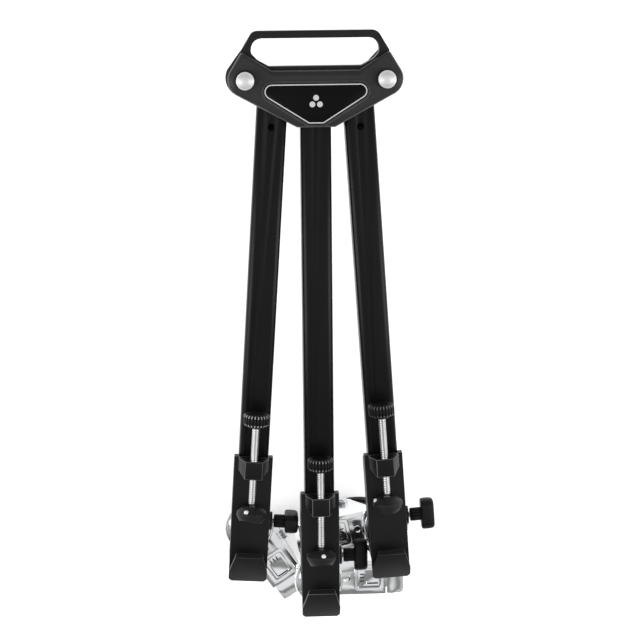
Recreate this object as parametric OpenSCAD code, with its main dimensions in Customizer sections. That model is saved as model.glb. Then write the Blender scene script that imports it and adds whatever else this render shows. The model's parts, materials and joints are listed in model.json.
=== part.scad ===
// Folding three-arm dolly for a camera tripod, shown folded with its casters on the ground.
// Millimetres, +Z up, ground at Z = 0, carry handle toward +Y.

/* [Arms] */
// outside width of the square arm tube
tube_w = 32; // [26:1:40]
// outside corner radius of the arm tube
tube_r = 5.5; // [2:0.5:8]
// wall thickness of the arm tube
tube_wall = 2; // [1.5:0.5:4]
// fold pivot to caster axis on the two side arms
side_reach = 479; // [400:1:575]
// hub centre to caster axis on the fixed centre arm
centre_reach = 516; // [430:1:620]
// left arm's angle from the centre arm when folded
left_splay = 3.9; // [3.6:0.1:6]
// right arm's angle from the centre arm when folded
right_splay = 3.6; // [3.5:0.1:6]
// tube beyond the caster axis
tube_over = 22.5; // [16:0.5:30]

/* [Hub] */
// fold pivot to hub centre
pivot_out = 51.2; // [48:0.2:60]
// fold pivot to lock pin
lock_out = 33; // [28:0.5:40]
// radius of a fold pivot pin
pivot_pin_r = 5; // [4:0.25:6]
// lock pin shank radius
lock_pin_r = 3.6; // [3:0.1:4.4]
// front plate thickness
front_t = 7; // [6:0.5:9]
// back plate thickness
back_t = 3; // [2:0.5:5]
// hub outline radius round a lock pin
wing_r = 20; // [18:0.5:24]
// carry handle thickness
handle_t = 14; // [10:0.5:18]

/* [Feet] */
// length of a foot bracket along its arm
foot_len = 135.3; // [122:0.5:150]
// bracket flange thickness
flange_t = 4.2; // [3:0.1:5]
// bracket web thickness
web_t = 3; // [2.5:0.1:4.5]
// clamp screw radius
screw_r = 3.8; // [3:0.1:4.6]
// clamp screw axis above the web
screw_up = 16.6; // [14.8:0.1:18]
// clamp screw advance for one turn
screw_pitch = 2; // [1:0.25:3]
// radius of the screw knob
knob_r = 14; // [11:0.5:16]
// knob centre to saddle centre
screw_len = 104; // [98:0.5:120]
// saddle width
saddle_w = 31.6; // [24:0.2:32]
// lock knob reach beyond the bracket side
lock_reach = 31.5; // [27:0.5:32]
// lock stud radius
stud_r = 3; // [2.5:0.1:3.6]

/* [Casters] */
// wheel diameter
wheel_d = 75; // [66:1:78]
// tyre width
tyre_w = 26; // [20:1:28]
// caster axis to axle
trail = 42; // [36:1:44]
// swivel race radius
race_r = 27; // [23:0.5:28]
// kingpin radius
king_r = 6; // [4.5:0.25:7]
// axle radius
axle_r = 4; // [3:0.25:5]
// left caster heading when folded
left_heading = -56; // [-75:1:-55]
// right caster heading when folded
right_heading = -168; // [-180:1:-166]
// centre caster heading when folded
centre_heading = 0; // [-20:1:0]

/* [Hidden] */
$fn = 48;
fit = 0.05;
gap = 0.4;
tube_z0 = wheel_d + 23;
tube_z1 = tube_z0 + tube_w;
tube_zc = tube_z0 + tube_w / 2;
back_z1 = tube_z0 - 0.5;
back_z0 = back_z1 - back_t;
front_z0 = tube_z1 + 1;
front_z1 = front_z0 + front_t;
web_z0 = tube_z1 + gap;
web_z1 = web_z0 + web_t;
foot_w = tube_w + 2 * gap + 2 * flange_t;
flange_z0 = tube_z0 + 3;
screw_z = web_z1 + screw_up;
pivot_x = pivot_out * sin(60);
pivot_y = pivot_out * cos(60);
lock_x = (pivot_out + lock_out) * sin(60);
lock_y = (pivot_out + lock_out) * cos(60);
axle_z = wheel_d / 2;
yoke_z0 = wheel_d + 7;
yoke_t = 3;
yoke_z1 = yoke_z0 + yoke_t;
race_z0 = yoke_z1 + 0.5;
race_z1 = race_z0 + 8.5;
yoke_w = tyre_w + 12;
yoke_len = trail + 33;
side_end = side_reach + tube_over;
centre_end = centre_reach + tube_over;
side_foot = side_reach - 88.7;
centre_foot = centre_reach - 109.5;
hub_top = 91.8;
shift_x = (pivot_x + (side_foot + 72) * sin(right_splay) + foot_w / 2 + lock_reach - race_r - pivot_x - side_reach * sin(left_splay)) / 2;
shift_y = (hub_top - centre_reach - race_r) / 2;
lock_lift = 6.3;
block_len = 19.5;
block_h = 22;
web_back = 4.5;

SIDES = ["left", "centre", "right"];
FOOT_PARTS = ["foot_bracket", "screw_block", "clamp_screw", "screw_knob", "screw_tip", "saddle", "lock_knob", "lock_stud"];
CASTER_PARTS = ["caster_mount", "caster_fork", "wheel_core", "tyre", "caster_axle", "brake_pedal"];
HUB_PARTS = ["hub_front_plate", "hub_back_plate", "carry_handle", "hub_badge", "pivot_pins", "hub_bolts", "lock_pin_sleeves"];
ARM_PARTS = ["arm_tube", "end_plug"];
EXTRA_PARTS = ["left_pivot_bushing", "right_pivot_bushing", "left_lock_pin", "right_lock_pin"];

// ---- outlines ----
function unit(v) = v / norm(v);
function turn(d) = (d + 900) % 360 - 180;
function corner(a, b, c, r, n) = let (u = unit(a - b), v = unit(c - b), h = acos(u * v) / 2, m = b + unit(u + v) * r / sin(h), s = b + u * r / tan(h) - m, e = b + v * r / tan(h) - m, a0 = atan2(s[1], s[0]), da = turn(atan2(e[1], e[0]) - a0)) [for (i = [0:n]) m + r * [cos(a0 + da * i / n), sin(a0 + da * i / n)]];
function rounded(p, r, n = 5) = [for (i = [0:len(p) - 1]) each corner(p[(i + len(p) - 1) % len(p)], p[i], p[(i + 1) % len(p)], is_list(r) ? r[i] : r, n)];
function arc(c, r, a0, a1, n = 10) = [for (i = [0:n]) c + r * [cos(a0 + (a1 - a0) * i / n), sin(a0 + (a1 - a0) * i / n)]];
function both(h) = concat(h, [for (i = [len(h) - 1:-1:0]) [-h[i][0], h[i][1]]]);
function hub_half(d) = concat([[21 - 0.58 * d, -9.3 + d]], arc([lock_x, lock_y], wing_r - d, -60, 27), arc([lock_x + 4.6 - 0.9 * d, lock_y + 27 - 0.9 * d], 2.5, 27, 118, 5), [[46 - 0.2 * d, 53.6 - d]]);
function back_half() = concat([[21, -9.3]], arc([lock_x, lock_y], wing_r, -60, 27), arc([lock_x + 1, lock_y + 28], 2.5, 27, 118, 5), [[67.5, 69.5], [51, 52.5]]);
function rect(w, h) = [[w / 2, -h / 2], [w / 2, h / 2], [-w / 2, h / 2], [-w / 2, -h / 2]];

module hub_shape(d) { polygon(both(hub_half(d))); }

// ---- placing ----
module place(a, x, y) {
  translate([x - shift_x, y - shift_y, 0]) rotate([0, 0, a]) children();
}
module on_arm(s) {
  if (s == "left") place(-90 - left_splay, -pivot_x, pivot_y) children();
  if (s == "right") place(-90 + right_splay, pivot_x, pivot_y) children();
  if (s == "centre") place(-90, 0, 0) children();
}
function foot_at(s) = s == "centre" ? centre_foot : side_foot;
function caster_at(s) = s == "centre" ? centre_reach : side_reach;
function end_at(s) = s == "centre" ? centre_end : side_end;
function start_at(s) = s == "centre" ? -32 : -14;
function knob_at(s) = s == "centre" ? -42.5 : (s == "left" ? -50.1 : -57.9);
function saddle_turn(s) = s == "centre" ? -8 : (s == "left" ? 27 : 84);
function knob_turn(s) = s == "centre" ? 8 : (s == "left" ? 90 : 0);
function heading(s) = s == "centre" ? centre_heading : (s == "left" ? left_heading : right_heading);
function arm_angle(s) = s == "centre" ? -90 : (s == "left" ? -90 - left_splay : -90 + right_splay);
module on_foot(s) { on_arm(s) translate([foot_at(s), 0, 0]) children(); }
module on_screw(s) { on_foot(s) translate([knob_at(s), 0, screw_z]) children(); }
module on_caster(s) {
  on_arm(s) translate([caster_at(s), 0, 0]) rotate([0, 0, heading(s) - arm_angle(s)]) children();
}
module hub_pos() { translate([-shift_x, -shift_y, 0]) children(); }
module along_x(r, l, x = 0) { translate([x, 0, 0]) rotate([0, 90, 0]) cylinder(r = r, h = l); }
module along_y(r, l, y = 0) { translate([0, y, 0]) rotate([-90, 0, 0]) cylinder(r = r, h = l); }
module bolt_spots() {
  for (x = [-24, 24]) translate([x, 46, 0]) children();
  for (y = [6, 22]) translate([0, y, 0]) children();
}

// ---- hub ----
module hub_front_plate() color("#1c1c1e") hub_pos() {
  difference() {
    union() {
      translate([0, 0, front_z0]) linear_extrude(front_t - 2) hub_shape(2);
      translate([0, 0, front_z1 - 2]) linear_extrude(2) hub_shape(5.5);
    }
    for (s = [-1, 1]) translate([s * lock_x, lock_y, front_z0 - 1]) cylinder(r = 6.5, h = front_t + 2);
    for (s = [-1, 1]) translate([s * pivot_x, pivot_y, front_z0 - 1]) cylinder(r = pivot_pin_r, h = front_t - 1);
    translate([0, 0, front_z0 - 1]) bolt_spots() cylinder(r = 3, h = front_t - 1);
  }
}
module hub_back_plate() color("#1c1c1e") hub_pos() {
  difference() {
    translate([0, 0, back_z0]) linear_extrude(back_t) polygon(both(back_half()));
    for (s = [-1, 1]) translate([s * lock_x, lock_y, back_z0 - 1]) cylinder(r = lock_pin_r + 1, h = back_t + 2);
    for (s = [-1, 1]) translate([s * pivot_x, pivot_y, back_z0 - 1]) cylinder(r = pivot_pin_r, h = back_t + 2);
    translate([0, 0, back_z0 - 1]) bolt_spots() cylinder(r = 3, h = back_t + 2);
  }
}
module handle_outline() {
  polygon(rounded([[79, 67.5], [64.5, hub_top], [-64.5, hub_top], [-79, 67.5], [-36.5, 46.5], [-22, 38.5], [22, 38.5], [36.5, 46.5]], [5, 9, 9, 5, 3, 3, 3, 3]));
}
module handle_window() {
  polygon(rounded([[66.2, 84.2], [-66.2, 84.2], [-66.2, 69], [-60.5, 62.5], [-48, 55.6], [48, 55.6], [60.5, 62.5], [66.2, 69]], [11, 11, 6, 6, 5, 5, 6, 6]));
}
module carry_handle() color("#202022") hub_pos() {
  difference() {
    union() {
      translate([0, 0, tube_zc + 1]) linear_extrude(handle_t) handle_outline();
      translate([0, 0, back_z1]) for (x = [-24, 24]) translate([x, 46, 0]) cylinder(r = 6.5, h = front_z0 - back_z1);
    }
    translate([0, 0, tube_zc]) linear_extrude(handle_t + 2) handle_window();
    translate([0, 0, back_z1 - 1]) for (x = [-24, 24]) translate([x, 46, 0]) cylinder(r = 3, h = 60);
  }
}
module hub_badge() color("#101012") hub_pos() {
  translate([0, 0, front_z1]) linear_extrude(0.8) polygon(rounded([[7.7, -3.2], [49.6, 20.4], [53.4, 27.5], [46, 37.8], [-46, 37.8], [-53.4, 27.5], [-49.6, 20.4], [-7.7, -3.2]], [3, 5, 5, 4, 4, 5, 5, 3]));
}
module pivot_pins() color("#b9bbbe") hub_pos() {
  for (s = [-1, 1]) translate([s * pivot_x, pivot_y, 0]) {
    translate([0, 0, back_z0]) cylinder(r = pivot_pin_r, h = front_z1 - 2 - back_z0);
    translate([0, 0, back_z0 - 4]) cylinder(r = pivot_pin_r + 3.5, h = 4);
  }
}
module hub_bolts() color("#8f9195") hub_pos() {
  bolt_spots() {
    translate([0, 0, back_z0]) cylinder(r = 3, h = front_z1 - 2 - back_z0);
    translate([0, 0, back_z0 - 3.5]) cylinder(r = 5.5, h = 3.5);
  }
}
module lock_pin_sleeves() color("#d0d2d5") hub_pos() {
  for (s = [-1, 1]) translate([s * lock_x, lock_y, 0]) difference() {
    union() {
      translate([0, 0, front_z0]) cylinder(r = 6.5, h = front_t);
      translate([0, 0, front_z1]) cylinder(r = 10.3, h = 2);
    }
    translate([0, 0, front_z0 - 1]) cylinder(r = lock_pin_r + fit, h = front_t + 6);
  }
}
module lock_pin(s) color("#e6e8ea") hub_pos() {
  translate([s * lock_x, lock_y, front_z0 - 0.5]) cylinder(r = lock_pin_r, h = front_t + 4 + lock_lift);
  translate([s * lock_x, lock_y, front_z1 + 2 + lock_lift]) rotate_extrude() polygon(concat([[0, 0], [9.7, 0]], arc([0, -6.2], 13, 43.5, 90, 8)));
}

// ---- arms ----
module arm_tube(s) color("#17171a") on_arm(s) {
  difference() {
    translate([start_at(s), 0, tube_zc]) rotate([90, 0, 90]) linear_extrude(end_at(s) - start_at(s)) difference() {
      polygon(rounded(rect(tube_w, tube_w), tube_r));
      polygon(rounded(rect(tube_w - 2 * tube_wall, tube_w - 2 * tube_wall), tube_r - tube_wall + 0.5));
    }
    if (s != "centre") translate([0, 0, tube_z0 - 1]) cylinder(r = pivot_pin_r + 2.5, h = tube_w + 2);
    if (s != "centre") translate([lock_out, 0, tube_z1 - tube_wall - 1]) cylinder(r = lock_pin_r + 0.2, h = tube_wall + 2);
    if (s == "centre") for (u = [-6, -22]) translate([u, 0, tube_z0 - 1]) cylinder(r = 3, h = tube_w + 2);
    translate([caster_at(s), 0, tube_z0 - 1]) cylinder(r = king_r, h = tube_wall + 1.5);
  }
}
module end_plug(s) color("#0f0f10") on_arm(s) {
  translate([end_at(s), 0, tube_zc]) rotate([90, 0, 90]) linear_extrude(2.5) polygon(rounded(rect(tube_w - 1, tube_w - 1), tube_r - 0.5));
  translate([end_at(s) - 8, 0, tube_zc]) rotate([90, 0, 90]) linear_extrude(8.5) polygon(rounded(rect(tube_w - 2 * tube_wall - 0.6, tube_w - 2 * tube_wall - 0.6), 3));
}
module pivot_bushing(s) color("#c8b48a") on_arm(s) {
  difference() {
    translate([0, 0, tube_z0 - 0.2]) cylinder(r = pivot_pin_r + 2.5, h = tube_w + 0.7);
    translate([0, 0, tube_z0 - 1]) cylinder(r = pivot_pin_r + fit, h = tube_w + 2);
  }
}

// ---- feet ----
module foot_profile() {
  polygon([[-web_back, web_z0], [foot_len, web_z0], [foot_len, web_z1 + 0.6], [101, web_z1 + 25], [96.5, web_z1 + 21.8], [foot_len - 6.5, web_z1], [-web_back, web_z1]]);
}
module foot_bracket(s) color("#141416") on_foot(s) {
  difference() {
    union() {
      intersection() {
        translate([0, foot_w / 2, 0]) rotate([90, 0, 0]) linear_extrude(foot_w) foot_profile();
        linear_extrude(400) polygon([[-web_back, -foot_w / 2], [foot_len - 16, -foot_w / 2], [foot_len - 3, -foot_w / 2], [foot_len, 3 - foot_w / 2], [foot_len, foot_w / 2 - 3], [foot_len - 3, foot_w / 2], [foot_len - 16, foot_w / 2], [-web_back, foot_w / 2]]);
      }
      for (m = [-1, 1]) translate([0, m * (foot_w - flange_t) / 2 + flange_t / 2, 0]) rotate([90, 0, 0]) linear_extrude(flange_t)
        polygon([[-web_back, web_z1], [-web_back, web_z0 - 7], [6, flange_z0], [foot_len - 22, flange_z0], [foot_len - 22, web_z1]]);
      translate([72, foot_w / 2 - 1, tube_zc]) along_y(10, 4.5);
    }
    for (m = [-1, 1]) translate([0, 0, web_z1 + 0.01]) linear_extrude(60) polygon([[90, m * 12], [90, m * 40], [foot_len, m * 40], [foot_len, m * foot_w / 2], [foot_len - 14, m * foot_w / 2]]);
    translate([72, 0, tube_zc]) along_y(stud_r + fit, 40);
  }
}
module screw_block(s) color("#141416") on_foot(s) translate([-web_back, 0, 0]) {
  difference() {
    intersection() {
      translate([0, 0, web_z1]) rotate([90, 0, 90]) linear_extrude(block_len) polygon([[-16, 0], [16, 0], [16, 8], [9.3, block_h], [-9.3, block_h], [-16, 8]]);
      linear_extrude(400) polygon([[0, -16], [block_len - 7, -16], [block_len, -9.3], [block_len, 9.3], [block_len - 7, 16], [0, 16]]);
    }
    translate([0, 0, screw_z]) along_x(screw_r + fit, 30, -5);
  }
}
module clamp_screw(s) color("#c9ccd0") on_screw(s) {
  along_x(screw_r, screw_len - 7.8 + 4, -4);
  along_x(screw_r - 0.8, 5, screw_len - 8);
}
module screw_knob(s) color("#111112") on_screw(s) {
  difference() {
    union() {
      rotate([0, 90, 0]) translate([0, 0, -6]) rotate([0, 0, 0]) linear_extrude(12) polygon([for (i = [0:71]) (knob_r - (i % 3 == 0 ? 1.1 : 0)) * [cos(i * 5), sin(i * 5)]]);
      along_x(7.5, 3, 5.5);
    }
    along_x(screw_r, 13, -4);
  }
}
module screw_tip(s) color("#9da0a4") on_screw(s) {
  difference() {
    along_x(5, 5, screw_len - 7.5);
    along_x(screw_r - 0.8 + fit, 8, screw_len - 9);
  }
}
module saddle(s) color("#121213") on_screw(s) rotate([saddle_turn(s), 0, 0]) {
  difference() {
    translate([screw_len - 8.5, 0, 0]) rotate([0, 90, 0]) rotate_extrude() polygon([[0, 0], [6.5, 0], [saddle_w / 2 - 5, 1.8], [saddle_w / 2, 6], [saddle_w / 2, 10], [saddle_w / 2 - 3.4, 17], [0, 17]]);
    along_x(5 + fit, 7, screw_len - 9);
    translate([screw_len + 24.5, 0, -20]) cylinder(r = 20, h = 40);
  }
}
module lock_knob(s) color("#101011") on_foot(s) translate([72, 0, tube_zc]) {
  difference() {
    union() {
      along_y(7.2, lock_reach - 18.5, foot_w / 2 + 5.4);
      translate([0, foot_w / 2 + lock_reach, 0]) rotate([90, knob_turn(s), 0]) linear_extrude(14) polygon(rounded(rect(34, 21), 9));
    }
    along_y(stud_r, 40, 0);
  }
}
module lock_stud(s) color("#c9ccd0") on_foot(s) translate([72, 0, tube_zc]) along_y(stud_r, 40 - tube_w / 2 - 0.4, tube_w / 2 + 0.4);

// ---- casters ----
module caster_mount(s) color("#c6c9cc") on_caster(s) {
  rotate_extrude() polygon([[0, race_z0], [race_r - 3, race_z0], [race_r, race_z0 + 2], [race_r, race_z1 - 3], [race_r - 5, race_z1], [21, race_z1], [21, tube_z0], [0, tube_z0]]);
  translate([0, 0, yoke_z0 - 1]) cylinder(r = king_r, h = tube_z0 - yoke_z0 + 1 + tube_wall + 0.5);
  translate([0, 0, yoke_z0 - 5]) cylinder(r = king_r + 3, h = 4.6);
  translate([0, 0, tube_z0 + tube_wall]) cylinder(r = 9, h = 5, $fn = 6);
}
module leg_shape() {
  polygon(concat([[14, yoke_z1], [12, yoke_z1 - 12]], arc([trail, axle_z], 12, 188, 356, 12), [[yoke_len - 6, yoke_z1 - 14], [yoke_len, yoke_z1 - 6], [yoke_len, yoke_z1]]));
}
module caster_fork(s) color("#cfd2d5") on_caster(s) {
  difference() {
    union() {
      translate([0, 0, yoke_z0]) cylinder(r = yoke_w / 2, h = yoke_t);
      translate([0, -yoke_w / 2, yoke_z0]) cube([yoke_len, yoke_w, yoke_t]);
      for (m = [-1, 1]) translate([0, m * (yoke_w / 2 - 1.5) + 1.5, 0]) rotate([90, 0, 0]) linear_extrude(3) leg_shape();
      translate([trail + 2, 0, yoke_z0 - 3.4]) along_y(1.5, yoke_w - 1, 0.5 - yoke_w / 2);
    }
    translate([0, 0, yoke_z0 - 1]) cylinder(r = king_r + fit, h = yoke_t + 2);
    translate([trail + 1, 0, yoke_z0 - 1]) linear_extrude(yoke_t + 2) translate([13.5, 0]) polygon(rounded(rect(26, 23), 3));
    translate([trail, 0, axle_z]) along_y(axle_r, 60, -30);
  }
}
module wheel_core(s) color("#2a2a2c") on_caster(s) translate([trail, 0, axle_z]) {
  difference() {
    union() {
      along_y(wheel_d / 2 - 9, tyre_w - 6, 3 - tyre_w / 2);
      along_y(10, tyre_w + 4.8, -tyre_w / 2 - 2.4);
    }
    along_y(axle_r + fit, 60, -30);
  }
}
module tyre(s) color("#1a1a1b") on_caster(s) translate([trail, 0, axle_z]) rotate([90, 0, 0]) {
  rotate_extrude() polygon(concat([[wheel_d / 2 - 9, -tyre_w / 2 + 1]], [for (a = [-90:15:90]) [wheel_d / 2 - 4 + 4 * cos(a), (tyre_w / 2 - 4) * sign(a) + 4 * sin(a)]], [[wheel_d / 2 - 9, tyre_w / 2 - 1]]));
}
module caster_axle(s) color("#b4b7ba") on_caster(s) translate([trail, 0, axle_z]) {
  along_y(axle_r, yoke_w + 5.5, -yoke_w / 2 - 5);
  along_y(7, 2.2, yoke_w / 2);
  translate([0, -yoke_w / 2 - 4, 0]) rotate([-90, 0, 0]) cylinder(r = 7, h = 4, $fn = 6);
}
module brake_pedal(s) color("#d3d6d9") on_caster(s) {
  difference() {
    union() {
      translate([trail + 2, 0, yoke_z0 - 3.4]) along_y(2.6, tyre_w, -tyre_w / 2);
      translate([trail + 2, -tyre_w / 2, yoke_z0 - 4.4]) cube([yoke_len - trail + 2, tyre_w, 2]);
      translate([0, tyre_w / 2 - 3, 0]) rotate([90, 0, 0]) linear_extrude(tyre_w - 6) polygon([[trail + 22, yoke_z0 - 3], [trail + 22, yoke_z0 - 11.5], [trail + 28, yoke_z0 - 12.5], [trail + 32, yoke_z0 - 3]]);
      translate([trail + 14.5, 0, yoke_z0 - 3]) linear_extrude(yoke_t + 2.6) polygon(rounded(rect(24.8, 21.8), 2.6));
      intersection() {
        translate([yoke_len, 0, 0]) linear_extrude(400) polygon(rounded([[0, -17.5], [26, -17.5], [26, 17.5], [0, 17.5]], [0.5, 6, 6, 0.5]));
        translate([0, 17.5, 0]) rotate([90, 0, 0]) linear_extrude(35) polygon([[yoke_len + 2.5, yoke_z0 - 4.4], [yoke_len + 17, yoke_z0 - 5.6], [yoke_len + 23, yoke_z0 - 10], [yoke_len + 25.6, yoke_z0 - 9], [yoke_len + 20, yoke_z0 - 3.4], [yoke_len + 10, yoke_z0 - 1.6], [yoke_len + 2.5, yoke_z0 - 2.4]]);
      }
    }
    translate([trail + 2, 0, yoke_z0 - 3.4]) along_y(1.5 + fit, 60, -30);
    translate([trail + 18.5, 0, yoke_z0 - 1.8]) linear_extrude(20) polygon(rounded(rect(14.5, 15), 1.5));
  }
}

hub_front_plate();
hub_back_plate();
carry_handle();
hub_badge();
pivot_pins();
hub_bolts();
lock_pin_sleeves();
lock_pin(-1);  // left_lock_pin
lock_pin(1);  // right_lock_pin
for (s = ["left", "right"]) {
  pivot_bushing(s);
}
for (s = SIDES) {
  arm_tube(s);
  end_plug(s);
  foot_bracket(s);
  screw_block(s);
  clamp_screw(s);
  screw_knob(s);
  screw_tip(s);
  saddle(s);
  lock_knob(s);
  lock_stud(s);
  caster_mount(s);
  caster_fork(s);
  wheel_core(s);
  tyre(s);
  caster_axle(s);
  brake_pedal(s);
}
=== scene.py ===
"""Looks of a folding tripod dolly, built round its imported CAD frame.

Lengths in this file are in millimetres, and the scene's units are metres.
"""
import json
import math

import bmesh
import bpy
from mathutils import Matrix, Vector


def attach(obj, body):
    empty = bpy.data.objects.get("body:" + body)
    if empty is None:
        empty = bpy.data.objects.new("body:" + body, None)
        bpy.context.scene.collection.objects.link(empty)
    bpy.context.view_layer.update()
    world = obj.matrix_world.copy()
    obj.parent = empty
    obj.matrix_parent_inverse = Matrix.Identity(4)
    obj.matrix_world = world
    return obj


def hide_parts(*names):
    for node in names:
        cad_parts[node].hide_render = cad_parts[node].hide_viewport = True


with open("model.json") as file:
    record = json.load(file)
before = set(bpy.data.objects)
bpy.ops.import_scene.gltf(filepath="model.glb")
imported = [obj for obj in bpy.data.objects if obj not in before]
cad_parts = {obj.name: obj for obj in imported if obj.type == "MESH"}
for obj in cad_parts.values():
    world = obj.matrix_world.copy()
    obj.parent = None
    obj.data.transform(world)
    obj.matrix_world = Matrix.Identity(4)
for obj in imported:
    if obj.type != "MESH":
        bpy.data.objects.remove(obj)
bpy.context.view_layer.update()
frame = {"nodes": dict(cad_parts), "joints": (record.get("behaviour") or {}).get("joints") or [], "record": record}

MM = 0.001
SIDES = ("left", "centre", "right")
RECORD = frame["record"]
JOINT = {j["name"]: j for j in frame["joints"]}
BODY_OF = {n: b for b, group in RECORD["behaviour"]["bodies"].items() for n in group}
SLOT_OF = {s["node"]: s["material_slot"] for s in RECORD["subparts"]}

# Driving sizes, the same as the part's.
TUBE_W = 32.0
TUBE_Z0 = 98.0
TUBE_Z1 = TUBE_Z0 + TUBE_W
TUBE_ZC = TUBE_Z0 + TUBE_W / 2
FRONT_Z0, FRONT_Z1 = TUBE_Z1 + 1, TUBE_Z1 + 8
FOOT_W = 41.2
LOCK_U = 72.0
LOCK_REACH = 31.5
SCREW_R, SCREW_PITCH, SCREW_LEN = 3.8, 2.0, 104.0
KNOB_R = 14.0
PIVOT_OUT, LOCK_OUT = 51.2, 33.0
LOCK_X = (PIVOT_OUT + LOCK_OUT) * math.sin(math.radians(60))
LOCK_Y = (PIVOT_OUT + LOCK_OUT) / 2
TRAIL = 42.0
YOKE_Z0, YOKE_Z1 = 82.0, 85.0
YOKE_LEN = 75.0
RACE_Z0, RACE_Z1 = 85.5, 94.0
WINDOW_X = TRAIL + 14.5

# Mesh finishing, with angles in degrees.
WELD = 0.0005  # joins a piece's corners, in millimetres
CAD_WELD = 2e-6  # joins a CAD copy's corners, in metres
FLAT_ANGLE = 0.6
BEVEL_ANGLE = 34
SMOOTH_ANGLE = 32.0


# ---------------------------------------------------------------- places
def basis(origin, x_dir, y_dir):
    """A placing matrix: millimetres in, row-frame metres out."""
    x = Vector(x_dir).normalized()
    z = x.cross(Vector(y_dir)).normalized()
    y = z.cross(x)
    m = Matrix((x, y, z)).transposed().to_4x4()
    m.translation = Vector(origin)
    return m @ Matrix.Scale(MM, 4)


def hub_place():
    left, right = (Vector(JOINT[s + "_arm_fold"]["pos_m"]) for s in ("left", "right"))
    mid = (left + right) / 2
    return basis((mid.x, mid.y - PIVOT_OUT * MM / 2, 0), (1, 0, 0), (0, 1, 0))


def foot_place(s):
    """Origin under the arm's centreline at the foot, at ground height; x outward, y to the lock knob."""
    x = Vector(JOINT[s + "_foot_slide"]["axis"])
    y = Vector(JOINT[s + "_lock_knob_turn"]["axis"])
    p = Vector(JOINT[s + "_lock_knob_turn"]["pos_m"])
    p = p - x * LOCK_U * MM - y * (FOOT_W + LOCK_REACH) / 2 * MM
    return basis((p.x, p.y, 0), x, y)


def screw_place(s):
    j = JOINT[s + "_screw_turn"]
    return basis(j["pos_m"], j["axis"], JOINT[s + "_lock_knob_turn"]["axis"])


def caster_place(s):
    y = Vector(JOINT[s + "_wheel_roll"]["axis"])
    p = JOINT[s + "_caster_swivel"]["pos_m"]
    return basis((p[0], p[1], 0), y.cross(Vector((0, 0, 1))), y)


HUB = hub_place()
FOOT = {s: foot_place(s) for s in SIDES}
SCREW = {s: screw_place(s) for s in SIDES}
CASTER = {s: caster_place(s) for s in SIDES}
SADDLE_TURN = {"left": 27.0, "centre": -8.0, "right": 84.0}
KNOB_TURN = {"left": 90.0, "centre": 8.0, "right": 0.0}


# ---------------------------------------------------------------- outlines
def arc(cx, cy, r, a0, a1, n=10):
    angles = [math.radians(a0 + (a1 - a0) * i / n) for i in range(n + 1)]
    return [(cx + r * math.cos(a), cy + r * math.sin(a)) for a in angles]


def rounded(points, radius, n=6):
    """The outline with each corner replaced by an arc of its radius."""
    out = []
    count = len(points)
    for i, b in enumerate(points):
        r = radius[i] if isinstance(radius, (list, tuple)) else radius
        b = Vector(b)
        u = (Vector(points[i - 1]) - b).normalized()
        v = (Vector(points[(i + 1) % count]) - b).normalized()
        half = u.angle(v) / 2
        centre = b + (u + v).normalized() * r / math.sin(half)
        s, e = b + u * r / math.tan(half) - centre, b + v * r / math.tan(half) - centre
        a0 = math.atan2(s.y, s.x)
        turn = (math.atan2(e.y, e.x) - a0 + math.pi) % (2 * math.pi) - math.pi
        for k in range(n + 1):
            a = a0 + turn * k / n
            out.append(tuple(centre + r * Vector((math.cos(a), math.sin(a)))))
    return out


def rect(w, h):
    return [(w / 2, -h / 2), (w / 2, h / 2), (-w / 2, h / 2), (-w / 2, -h / 2)]


def both(half):
    return half + [(-x, y) for x, y in reversed(half)]


def hub_outline(d):
    """The hub cover's outline, drawn in by d."""
    half = [(21 - 0.58 * d, -9.3 + d)]
    half += arc(LOCK_X, LOCK_Y, 20 - d, -60, 27, 14)
    half += arc(LOCK_X + 4.6 - 0.9 * d, LOCK_Y + 27 - 0.9 * d, 2.5, 27, 118, 6)
    half += [(46 - 0.2 * d, 53.6 - d)]
    return both(half)


def badge_outline(d):
    """The badge's outline, drawn in by d."""
    base = rounded([(7.7, -3.2), (72.8, 37.8), (-72.8, 37.8), (-7.7, -3.2)], [3, 7.9, 7.9, 3], 12)
    return inset(base, d)


# ---------------------------------------------------------------- solids
def loft(bm, rings):
    """Joins rings of equal count, each a list of 3-D points, into one closed skin."""
    rows = [[bm.verts.new(p) for p in ring] for ring in rings]
    n = len(rows[0])
    for a, b in zip(rows, rows[1:]):
        for i in range(n):
            j = (i + 1) % n
            bm.faces.new((a[i], a[j], b[j], b[i]))
    bm.faces.new(list(reversed(rows[0])))
    bm.faces.new(rows[-1])


def prism(bm, outline, z0, z1):
    loft(bm, [[(x, y, z) for x, y in outline] for z in (z0, z1)])


def inset(outline, d):
    """Moves each side of a counter-clockwise outline inward by d."""
    out = []
    count = len(outline)
    for i in range(count):
        p, a, b = Vector(outline[i]), Vector(outline[i - 1]), Vector(outline[(i + 1) % count])
        u, v = (p - a).normalized(), (b - p).normalized()
        n1, n2 = Vector((-u.y, u.x)), Vector((-v.y, v.x))
        m = (n1 + n2).normalized()
        out.append(tuple(p + m * d / max(0.35, m.dot(n1))))
    return out


AXIS_TURN = {
    "x": Matrix(((0, 0, 1), (1, 0, 0), (0, 1, 0))),
    "y": Matrix(((0, 1, 0), (0, 0, 1), (1, 0, 0))),
    "z": Matrix.Identity(3),
}


def lathe(bm, profile, n=48, axis="z", at=(0, 0, 0), wobble=None):
    """Turns (radius, height) points about an axis. wobble(angle, k) scales the radius of profile point k."""
    turn = AXIS_TURN[axis]
    rings = []
    for k, (r, h) in enumerate(profile):
        ring = []
        for i in range(n):
            a = 2 * math.pi * i / n
            q = r * (wobble(a, k) if wobble else 1)
            ring.append(turn @ Vector((q * math.cos(a), q * math.sin(a), h)) + Vector(at))
        rings.append(ring)
    loft(bm, rings)


def block(bm, x0, x1, y0, y1, z0, z1):
    prism(bm, [(x0, y0), (x1, y0), (x1, y1), (x0, y1)], z0, z1)


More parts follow.
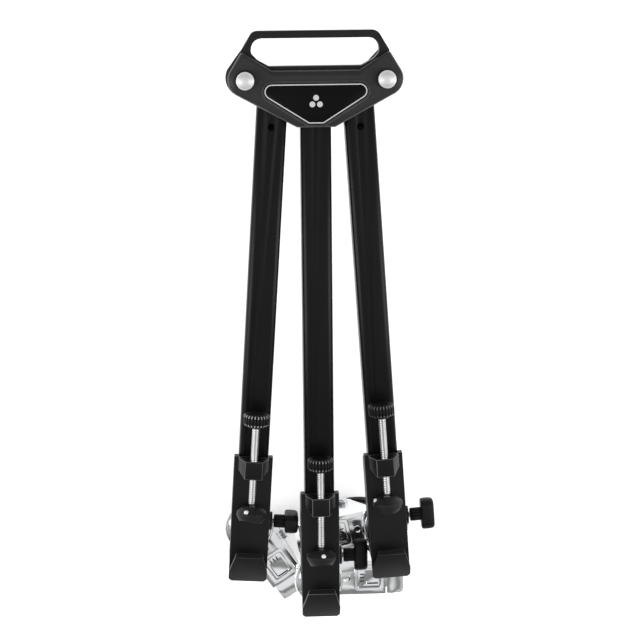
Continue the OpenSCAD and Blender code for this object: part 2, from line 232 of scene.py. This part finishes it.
def thread(bm, r, depth, pitch, x0, x1):
    """A screw thread along x with a small chamfer at its far end, as one helical skin."""
    n = 20
    length = x1 - x0
    turns = int(length / pitch)
    rows = []
    for k in range(turns * 4 + 1):
        ring = []
        for i in range(n):
            a = 2 * math.pi * i / n
            x = x0 + length * k / (turns * 4)
            phase = (x / pitch - a / (2 * math.pi)) % 1
            crest = 1 - abs(2 * phase - 1)
            q = r - depth * (1 - min(1, crest * 1.5))
            ring.append((x, q * math.cos(a), q * math.sin(a)))
        rows.append(ring)
    tip = [(x1 + 1.2, y * 0.6, z * 0.6) for _, y, z in rows[-1]]
    loft(bm, rows + [tip])


# ---------------------------------------------------------------- materials
def noise(nodes, links, place, scale, detail):
    node = nodes.new("ShaderNodeTexNoise")
    node.inputs["Scale"].default_value = scale
    node.inputs["Detail"].default_value = detail
    links.new(place.outputs["Object"], node.inputs["Vector"])
    return node


def bump(nodes, links, height, strength, distance):
    node = nodes.new("ShaderNodeBump")
    node.inputs["Strength"].default_value = strength
    node.inputs["Distance"].default_value = distance
    links.new(height.outputs["Fac"], node.inputs["Height"])
    return node


def node_material(
    name, colour, rough, metal=0.0, spec=0.5,
    mottle=0.12, rough_var=0.08, grain=0.0, grain_scale=400.0, wave=0.0,
):
    """A procedural finish: colour mottling, uneven roughness, fine grain and slow waves in the surface."""
    m = bpy.data.materials.new(name)
    m.use_nodes = True
    nodes, links = m.node_tree.nodes, m.node_tree.links
    shader = nodes["Principled BSDF"]
    shader.inputs["Metallic"].default_value = metal
    shader.inputs["Specular IOR Level"].default_value = spec
    place = nodes.new("ShaderNodeTexCoord")
    broad = noise(nodes, links, place, 22.0, 6.0)
    tone = nodes.new("ShaderNodeValToRGB")
    dark, light = tone.color_ramp.elements
    dark.position, light.position = 0.35, 0.68
    dark.color = (*[c * (1 - mottle) for c in colour], 1)
    light.color = (*[min(1.0, c * (1 + mottle)) for c in colour], 1)
    links.new(broad.outputs["Fac"], tone.inputs["Fac"])
    links.new(tone.outputs["Color"], shader.inputs["Base Color"])
    spread = nodes.new("ShaderNodeMapRange")
    spread.inputs["To Min"].default_value = max(0.02, rough - rough_var)
    spread.inputs["To Max"].default_value = min(1.0, rough + rough_var)
    links.new(broad.outputs["Fac"], spread.inputs["Value"])
    links.new(spread.outputs["Result"], shader.inputs["Roughness"])
    if grain:
        fine = noise(nodes, links, place, grain_scale, 4.0)
        surface = bump(nodes, links, fine, grain, 0.0002)
        links.new(surface.outputs["Normal"], shader.inputs["Normal"])
        if wave:
            slow = noise(nodes, links, place, 34.0, 1.0)
            swell = bump(nodes, links, slow, wave, 0.004)
            links.new(swell.outputs["Normal"], surface.inputs["Normal"])
    return m


def grey(level, blue):
    """Red and green share a level; blue is given on its own."""
    return (level, level, blue)


FINISHES = {
    "tube_black": dict(
        colour=grey(0.0034, 0.0036), rough=0.3, spec=0.16,
        mottle=0.1, grain=0.1, grain_scale=1400,
    ),
    "bracket_black": dict(
        colour=grey(0.0056, 0.0058), rough=0.42, spec=0.17,
        mottle=0.16, grain=0.3, grain_scale=1600,
    ),
    "plate_black": dict(
        colour=grey(0.024, 0.0245), rough=0.42, spec=0.25,
        mottle=0.1, grain=0.25, grain_scale=1500,
    ),
    "handle_black": dict(
        colour=grey(0.01, 0.0104), rough=0.4, spec=0.2,
        grain=0.22, grain_scale=1500,
    ),
    "badge_black": dict(colour=grey(0.003, 0.0031), rough=0.3, spec=0.08, mottle=0.05, grain=0.02),
    "badge_line": dict(colour=grey(0.62, 0.62), rough=0.4, mottle=0.03, grain=0.02),
    "knob_black": dict(
        colour=grey(0.0058, 0.006), rough=0.46, spec=0.17,
        mottle=0.14, grain=0.5, grain_scale=2200,
    ),
    "saddle_black": dict(
        colour=grey(0.012, 0.0123), rough=0.48, spec=0.22,
        mottle=0.14, grain=0.5, grain_scale=2200,
    ),
    # Painted highlight: a paler tone laid on rounded edges and bands where light catches them.
    "painted_edge_highlight": dict(
        colour=grey(0.1, 0.101), rough=0.4, spec=0.35,
        mottle=0.4, grain=0.2, grain_scale=1800,
    ),
    # Painted glints: a pale tone laid on the knob flutes' crests where light catches them.
    "painted_crest_glint": dict(colour=grey(0.24, 0.24), rough=0.4, spec=0.4, mottle=0.8, grain=0.1),
    "pin_white": dict(colour=grey(0.8, 0.79), rough=0.35, mottle=0.03, grain=0.02),
    "button_silver": dict(colour=grey(0.72, 0.72), rough=0.5, metal=0.55, mottle=0.03, grain=0.05),
    "zinc": dict(
        colour=(0.66, 0.67, 0.68), rough=0.26, metal=1.0,
        mottle=0.06, grain=0.08, grain_scale=900,
    ),
    "screw_steel": dict(
        colour=grey(0.46, 0.47), rough=0.32, metal=1.0,
        mottle=0.15, grain=0.1, grain_scale=900,
    ),
    "chrome": dict(
        colour=(0.93, 0.94, 0.95), rough=0.15, metal=1.0,
        mottle=0.05, rough_var=0.05, grain=0.04, grain_scale=500, wave=0.34,
    ),
    # Painted shade: a dark tone for the pedal's dashes, standing in for the shade in their grooves.
    "painted_groove_shade": dict(colour=grey(0.03, 0.031), rough=0.5, metal=0.4, mottle=0.2),
    "bronze": dict(colour=(0.45, 0.33, 0.15), rough=0.4, metal=1.0, mottle=0.1, grain=0.1),
    "wheel_black": dict(
        colour=grey(0.014, 0.0145), rough=0.45, spec=0.3,
        grain=0.3, grain_scale=1500,
    ),
    "tyre_black": dict(
        colour=grey(0.008, 0.0083), rough=0.6, spec=0.25,
        grain=0.6, grain_scale=1800,
    ),
}
MATERIALS = {name: node_material(name, **look) for name, look in FINISHES.items()}


# ---------------------------------------------------------------- pieces
def piece(
    name, bm, place, body, material, nodes=(),
    bevel=0.0, segments=3, smooth=SMOOTH_ANGLE, edge=None,
):
    """Turns millimetre geometry into a finished object that rides on a CAD body and stands for its nodes."""
    bmesh.ops.remove_doubles(bm, verts=bm.verts, dist=WELD)
    bmesh.ops.recalc_face_normals(bm, faces=bm.faces)
    bm.transform(place)
    mesh = bpy.data.meshes.new(name)
    bm.to_mesh(mesh)
    bm.free()
    obj = bpy.data.objects.new(name, mesh)
    bpy.context.scene.collection.objects.link(obj)
    mesh.materials.append(MATERIALS[material])
    return finished(obj, body, nodes, bevel, segments, smooth, edge)


def finished(obj, body, nodes, bevel, segments, smooth, edge):
    """Rounds the sharp edges, in the named edge material, a painted highlight, if one is named, and ties the
    object to the CAD.
    """
    mesh = obj.data
    if edge:
        mesh.materials.append(MATERIALS[edge])
    if bevel:
        mod = obj.modifiers.new("edge", "BEVEL")
        mod.width = bevel * MM
        mod.segments = segments
        mod.limit_method = "ANGLE"
        mod.angle_limit = math.radians(BEVEL_ANGLE)
        mod.use_clamp_overlap = True
        mod.material = 1 if edge else -1
        bpy.context.view_layer.update()
        deps = bpy.context.evaluated_depsgraph_get()
        done = bpy.data.meshes.new_from_object(obj.evaluated_get(deps))
        obj.modifiers.clear()
        obj.data = mesh = done
    mesh.polygons.foreach_set("use_smooth", [True] * len(mesh.polygons))
    mesh.set_sharp_from_angle(angle=math.radians(smooth))
    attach(obj, body)
    if nodes:
        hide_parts(*nodes)
    return obj


def dressed(node, bevel, segments=3, material=None, edge=None):
    """A copy of a CAD node, with its flat facets merged and its sharp edges rounded, that stands for it."""
    source = frame["nodes"][node]
    bm = bmesh.new()
    bm.from_mesh(source.data)
    bmesh.ops.remove_doubles(bm, verts=bm.verts, dist=CAD_WELD)
    bmesh.ops.dissolve_limit(bm, angle_limit=math.radians(FLAT_ANGLE), verts=bm.verts, edges=bm.edges)
    mesh = bpy.data.meshes.new(node + "_shell")
    bm.to_mesh(mesh)
    bm.free()
    obj = bpy.data.objects.new(node + "_shell", mesh)
    bpy.context.scene.collection.objects.link(obj)
    mesh.materials.append(MATERIALS[material or SLOT_OF[node]])
    return finished(obj, BODY_OF[node], [node], bevel, segments, SMOOTH_ANGLE, edge)


def ribbed(count, depth):
    """A radius factor that cuts round-bottomed flutes."""
    return lambda a, k: 1 - depth * (0.5 + 0.5 * math.cos(a * count)) ** 3


# ---- hub
def frame_ring(bm, outer, inner, z0, z1, slope):
    """A closed band between two outlines of equal count, its outer side drawn in by slope at the top."""
    n = len(outer)
    levels = ((outer, z0), (inset(outer, slope), z1), (inner, z1), (inner, z0))
    rows = [[bm.verts.new((x, y, z)) for x, y in outline] for outline, z in levels]
    for a, b in zip(rows, rows[1:] + rows[:1]):
        for i in range(n):
            j = (i + 1) % n
            bm.faces.new((a[i], a[j], b[j], b[i]))


def make_cover():
    """The hub's front shell, with a wide soft bevel and a paler band along its edge, a painted highlight."""
    cover = bmesh.new()
    steps = ((2.0, 0.0), (2.0, 2.2), (2.3, 3.0), (3.2, 3.7), (7.2, 5.9), (8.2, 6.0))
    loft(cover, [[(x, y, FRONT_Z0 + z) for x, y in hub_outline(d)] for d, z in steps])
    # Faces on the bevel's band, 2.2 to 3.6 mm up, take the second material: a painted edge highlight.
    for f in cover.faces:
        f.material_index = int(2.2 < f.calc_center_median().z - FRONT_Z0 < 3.6)
    piece("hub_cover", cover, HUB, "hub", "plate_black", ["hub_front_plate"], smooth=40, edge="painted_edge_highlight")


def make_badge():
    """A raised rim, a sunk plate, a thin line along its edge and a mark of three dots."""
    rim = bmesh.new()
    frame_ring(rim, badge_outline(-3.4), badge_outline(-1.0), FRONT_Z1 - 1.4, FRONT_Z1 + 0.3, 0.6)
    # The rim's rounded edges take the paler edge material, a painted highlight.
    piece("badge_rim", rim, HUB, "hub", "plate_black", bevel=0.3, segments=2, edge="painted_edge_highlight")
    badge = bmesh.new()
    prism(badge, badge_outline(-1.0), FRONT_Z1 - 1.2, FRONT_Z1 - 0.45)
    piece("badge_plate", badge, HUB, "hub", "badge_black", ["hub_badge"], bevel=0.15, segments=2)
    line = bmesh.new()
    frame_ring(line, badge_outline(0.2), badge_outline(1.4), FRONT_Z1 - 0.6, FRONT_Z1 - 0.15, 0.1)
    piece("badge_line", line, HUB, "hub", "badge_line")
    mark = bmesh.new()
    for k in range(3):
        a = math.radians(90 + 120 * k)
        dot = arc(4.5 * math.cos(a), 19 + 4.5 * math.sin(a), 3.0, 0, 345, 23)
        prism(mark, dot, FRONT_Z1 - 0.5, FRONT_Z1 - 0.28)
    piece("badge_mark", mark, HUB, "hub", "badge_line")


def make_lock_button(s, m):
    """A domed steel button with a fine step round its top, on the stem of its lock pin."""
    dome = bmesh.new()
    z = FRONT_Z1 + 8.3
    stem, rise = 3.6, ((8.9, 0.0), (9.3, 0.5), (9.3, 1.7), (8.9, 2.2), (7.9, 2.6), (7.5, 2.4), (7.0, 2.7))
    crown = ((5.6, 3.6), (3.8, 4.2), (1.9, 4.55), (0.5, 4.6))
    profile = [(stem, FRONT_Z0 - 0.5), (stem, z + 0.3)] + [(r, z + h) for r, h in rise + crown]
    lathe(dome, profile, 72, at=(m * LOCK_X, LOCK_Y, 0))
    node = s + "_lock_pin"
    piece(s + "_lock_button", dome, HUB, s + "_lock", "button_silver", [node], smooth=28)


def make_hub():
    dressed("hub_back_plate", 0.5)
    dressed("carry_handle", 2.2, 4)
    dressed("pivot_pins", 0.6)
    bolts = dressed("hub_bolts", 0.6)
    for v in bolts.data.vertices:
        v.co.z = min(v.co.z, (FRONT_Z0 + 3) * MM)
    dressed("lock_pin_sleeves", 0.4, material="knob_black")
    make_cover()
    make_badge()
    make_lock_button("left", -1)
    make_lock_button("right", 1)


# ---- arms
def make_arm(s):
    dressed(s + "_arm_tube", 0.35, 2)
    dressed(s + "_end_plug", 0.8)
    if s != "centre":
        dressed(s + "_pivot_bushing", 0.3)


# ---- feet
def make_foot(s):
    # The bracket's and block's rounded edges take the paler edge material, a painted highlight.
    dressed(s + "_foot_bracket", 0.8, edge="painted_edge_highlight")
    dressed(s + "_screw_block", 0.7, edge="painted_edge_highlight")
    make_clamp(s)
    make_lock_knob(s)


def make_clamp(s):
    make_clamp_screw(s)
    make_screw_knob(s)
    dressed(s + "_screw_tip", 0.4)
    dressed(s + "_saddle", 0.9)
    pin = bmesh.new()
    lathe(pin, [(1.0, 11.6), (2.4, 11.8), (2.4, 14.0), (2.0, 14.6), (0.8, 14.9)], 32, at=(-4.5, 0, 0))
    saddle_turn = Matrix.Rotation(math.radians(SADDLE_TURN[s]), 4, "X")
    place = SCREW[s] @ Matrix.Translation((SCREW_LEN, 0, 0)) @ saddle_turn
    piece(s + "_saddle_pin", pin, place, s + "_saddle_body", "pin_white")


def make_clamp_screw(s):
    """The clamp's threaded rod, with a plain rounded end before the swivel tip."""
    rod = bmesh.new()
    thread(rod, SCREW_R, 0.32, SCREW_PITCH, -4, SCREW_LEN - 13.5)
    end = ((3.3, 13.4), (3.5, 12.6), (3.2, 10.6), (2.3, 9.2))
    lathe(rod, [(r, SCREW_LEN - back) for r, back in end], 32, "x")
    node = s + "_clamp_screw"
    piece(s + "_thread", rod, SCREW[s], s + "_screw", "screw_steel", [node], smooth=60)


def make_screw_knob(s):
    """A fluted knob with a boss, with painted glints on its flutes' crests along both rims."""
    knob = bmesh.new()
    profile = [(4.2, -5.8), (6.0, -6.0), (11.8, -6.0), (13.4, -5.0), (KNOB_R, -3.6), (KNOB_R, 3.6)]
    profile += [(13.4, 5.0), (12.2, 6.0), (8.0, 6.0), (7.5, 8.5), (4.0, 8.5)]
    flutes = 24
    fluted = ribbed(flutes, 0.11)
    lathe(knob, profile, 288, "x", wobble=lambda a, k: fluted(a, k) if 2 <= k <= 7 else 1)
    # Crest faces on both rims take the second material: painted glints.
    for f in knob.faces:
        c = f.calc_center_median()
        on_rim = math.hypot(c.y, c.z) > 12.4 and 3.6 < abs(c.x) < 5.9
        on_crest = math.cos(flutes * math.atan2(c.z, c.y)) < -0.45
        f.material_index = int(on_rim and on_crest)
    name, node = s + "_knurled_knob", s + "_screw_knob"
    piece(name, knob, SCREW[s], s + "_screw", "knob_black", [node], smooth=50, edge="painted_crest_glint")


def make_lock_knob(s):
    """The side lock knob, a rounded bar on a fluted collar, and its stud."""
    place = FOOT[s] @ Matrix.Translation((LOCK_U, 0, TUBE_ZC))
    body = s + "_lock_screw"
    y0 = FOOT_W / 2
    grip = bmesh.new()
    collar = [(5.0, y0 + 5.4), (6.6, y0 + 5.4), (7.2, y0 + 6.2), (7.2, y0 + 18.0), (6.4, y0 + 18.8)]
    fluted = ribbed(12, 0.14)
    lathe(grip, collar, 144, "y", wobble=lambda a, k: fluted(a, k) if k in (1, 2, 3) else 1)
    bar = rounded(rect(34, 21), 8.5, 8)
    turn = Matrix.Rotation(math.radians(-KNOB_TURN[s]), 3, "Y")
    rows = []
    for back, d in ((14, 1.4), (12.8, 0.2), (7, 0.0), (2.2, 0.5), (0.7, 1.5), (0, 3.2)):
        rows.append([turn @ Vector((x, y0 + LOCK_REACH - back, z)) for x, z in inset(bar, d)])
    loft(grip, rows)
    piece(s + "_lock_grip", grip, place, body, "knob_black", [s + "_lock_knob"], smooth=38)
    stud = bmesh.new()
    thread(stud, 3.0, 0.4, 1.25, 16.6, 36)
    shaft = place @ Matrix.Rotation(math.radians(90), 4, "Z")
    piece(s + "_lock_thread", stud, shaft, body, "zinc", [s + "_lock_stud"], smooth=60)


# ---- casters
def make_race(s):
    """The caster's mount: a kingpin with its head, and a dished race with a bright lip and a groove."""
    race = bmesh.new()
    kingpin = [(6.0, 77.2), (9.0, 77.0), (9.0, 81.2), (8.4, 81.6), (6.0, 81.6)]
    lip = ((6.0, 0), (26.0, 0), (27.0, 1), (27.0, 4.2), (26.2, 5.2), (24.8, 5.2))
    groove = ((24.2, 3.4), (22.8, 3.4), (22.2, 5.0), (20.6, 7.2))
    neck = [(17.5, RACE_Z1), (15.0, TUBE_Z0 + 2.6), (0.5, TUBE_Z0 + 2.6)]
    lathe(race, kingpin + [(r, RACE_Z0 + z) for r, z in lip + groove] + neck, 72)
    node = s + "_caster_mount"
    piece(s + "_race", race, CASTER[s], BODY_OF[node], "chrome", [node], smooth=28)


def make_fork_trim(s):
    """A raised frame round the fork's window, and a dimple beside it."""
    trim = bmesh.new()
    outer, inner = rounded(rect(34, 31), 5, 6), rounded(rect(26.6, 23.6), 3.2, 6)
    frame_ring(trim, outer, inner, YOKE_Z1 - 0.3, YOKE_Z1 + 0.9, 0.9)
    trim.transform(Matrix.Translation((WINDOW_X, 0, 0)))
    dimple = ((4.6, -0.3), (4.4, 0.35), (3.8, 0.45), (3.0, 0.1), (0.6, 0.05))
    lathe(trim, [(r, YOKE_Z1 + z) for r, z in dimple], 32, at=(31.5, 0, 0))
    node = s + "_caster_fork"
    piece(s + "_fork_trim", trim, CASTER[s], BODY_OF[node], "chrome", smooth=24)


def make_pedal(s):
    """The brake pedal, with three dark dashes on its deck, painted shade for grooves, and a curved tab with
    rounded corners.
    """
    node = s + "_brake_pedal"
    dressed(node, 0.8)
    # The dashes are raised dark marks: painted shade standing in for grooves in the deck.
    dash = bmesh.new()
    shape = rounded(rect(4.6, 1.3), 0.6, 4)
    for y in (-4, 0, 4):
        prism(dash, [(TRAIL + 6.4 + px, y + py) for px, py in shape], YOKE_Z0 + 2.3, YOKE_Z0 + 2.85)
    piece(s + "_pedal_marks", dash, CASTER[s], BODY_OF[node], "painted_groove_shade")
    tab = bmesh.new()
    side = ((2.0, -4.9), (16.8, -6.1), (22.8, -10.5), (25.6, -9.3), (20.3, -2.9), (10.1, -1.1), (2.0, -1.9))
    ends = ((20.3, 0.7), (19.9, 0.84), (18.6, 0.94), (16.0, 1.0))
    rows = [(-y, k) for y, k in ends] + [(y, k) for y, k in reversed(ends)]
    narrow = 0.85 if s == "left" else 1.0  # clears the centre caster's race
    loft(tab, [[(YOKE_LEN + 2 + (x - 2) * k, y * narrow, YOKE_Z0 + z) for x, z in side] for y, k in rows])
    body, slot = BODY_OF[node], SLOT_OF[node]
    piece(s + "_pedal_tab", tab, CASTER[s], body, "chrome", bevel=0.5, segments=2, smooth=40)


def make_caster(s):
    make_race(s)
    dressed(s + "_caster_fork", 1.35, 4)
    make_fork_trim(s)
    dressed(s + "_caster_axle", 0.5)
    make_pedal(s)
    dressed(s + "_wheel_core", 0.8)
    dressed(s + "_tyre", 0.3)


make_hub()
for side in SIDES:
    make_arm(side)
    make_foot(side)
    make_caster(side)


# ---------------------------------------------------------------- studio
FLOOR_REACH = 12000
FLOOR_GLOW = 0.55
SKY = ((0.34, 0.34), (0.76, 0.6), (0.83, 0.2), (0.89, 0.2), (0.94, 0.8))


def make_stage():
    """A wide pale floor that gives some light of its own."""
    floor_bm = bmesh.new()
    block(floor_bm, -FLOOR_REACH, FLOOR_REACH, -FLOOR_REACH, FLOOR_REACH, -20, -0.3)
    floor_bm.transform(Matrix.Scale(MM, 4))
    mesh = bpy.data.meshes.new("floor")
    floor_bm.to_mesh(mesh)
    floor_bm.free()
    floor = bpy.data.objects.new("floor", mesh)
    bpy.context.scene.collection.objects.link(floor)
    pale = node_material("floor_pale", (0.93, 0.93, 0.93), 0.85, mottle=0.01, rough_var=0.03)
    glow = pale.node_tree.nodes["Principled BSDF"]
    glow.inputs["Emission Color"].default_value = (1, 1, 1, 1)
    glow.inputs["Emission Strength"].default_value = FLOOR_GLOW
    mesh.materials.append(pale)


def area_light(name, at, look, size, power):
    data = bpy.data.lights.new(name, "AREA")
    data.shape = "RECTANGLE"
    data.size, data.size_y = size
    data.energy = power
    obj = bpy.data.objects.new(name, data)
    bpy.context.scene.collection.objects.link(obj)
    obj.location = at
    obj.rotation_mode = "QUATERNION"
    obj.rotation_quaternion = (Vector(look) - Vector(at)).to_track_quat("-Z", "Y")


def make_lights():
    """A pale sky with one dark band, for the chrome to show, and a soft box at each side."""
    world = bpy.data.worlds.new("studio")
    bpy.context.scene.world = world
    world.use_nodes = True
    nodes, links = world.node_tree.nodes, world.node_tree.links
    place = nodes.new("ShaderNodeTexCoord")
    split = nodes.new("ShaderNodeSeparateXYZ")
    links.new(place.outputs["Generated"], split.inputs["Vector"])
    sky = nodes.new("ShaderNodeValToRGB")
    ramp = sky.color_ramp
    ramp.elements[0].position, ramp.elements[0].color = 0.0, (0.22, 0.22, 0.22, 1)
    ramp.elements[1].position, ramp.elements[1].color = 1.0, (0.8, 0.8, 0.8, 1)
    for at, level in SKY:
        ramp.elements.new(at).color = (level, level, level, 1)
    links.new(split.outputs["Z"], sky.inputs["Fac"])
    links.new(sky.outputs["Color"], nodes["Background"].inputs["Color"])
    nodes["Background"].inputs["Strength"].default_value = 1.0
    area_light("left_box", (-1.5, -0.1, 1.3), (0, -0.2, 0.1), (0.7, 2.0), 20)
    area_light("right_box", (1.5, -0.1, 1.3), (0, -0.2, 0.1), (0.7, 2.0), 18)
    view = bpy.context.scene.view_settings
    view.view_transform = "Standard"
    view.look = "None"


def make_camera():
    """The main view: from above, a little over the carry handle's end, which is up."""
    tilt, lean, roll = math.radians(11.4), math.radians(3.0), math.radians(0.58)
    distance = 1.93
    target = HUB @ Vector((2.1, -211.7, TUBE_Z1))
    back = Vector((-math.sin(lean) * math.cos(tilt), math.sin(tilt), math.cos(lean) * math.cos(tilt)))
    right = Vector((back.z, 0, -back.x)).normalized()
    up = back.cross(right)
    r2 = right * math.cos(roll) - up * math.sin(roll)
    u2 = right * math.sin(roll) + up * math.cos(roll)
    data = bpy.data.cameras.new("photo_view")
    data.sensor_width = 36.0
    data.lens = 102.4
    data.clip_start, data.clip_end = 0.05, 50
    cam = bpy.data.objects.new("photo_view", data)
    bpy.context.scene.collection.objects.link(cam)
    m = Matrix((r2, u2, back)).transposed().to_4x4()
    m.translation = target + back * distance
    cam.matrix_world = m
    bpy.context.scene.camera = cam


make_stage()
make_lights()
make_camera()
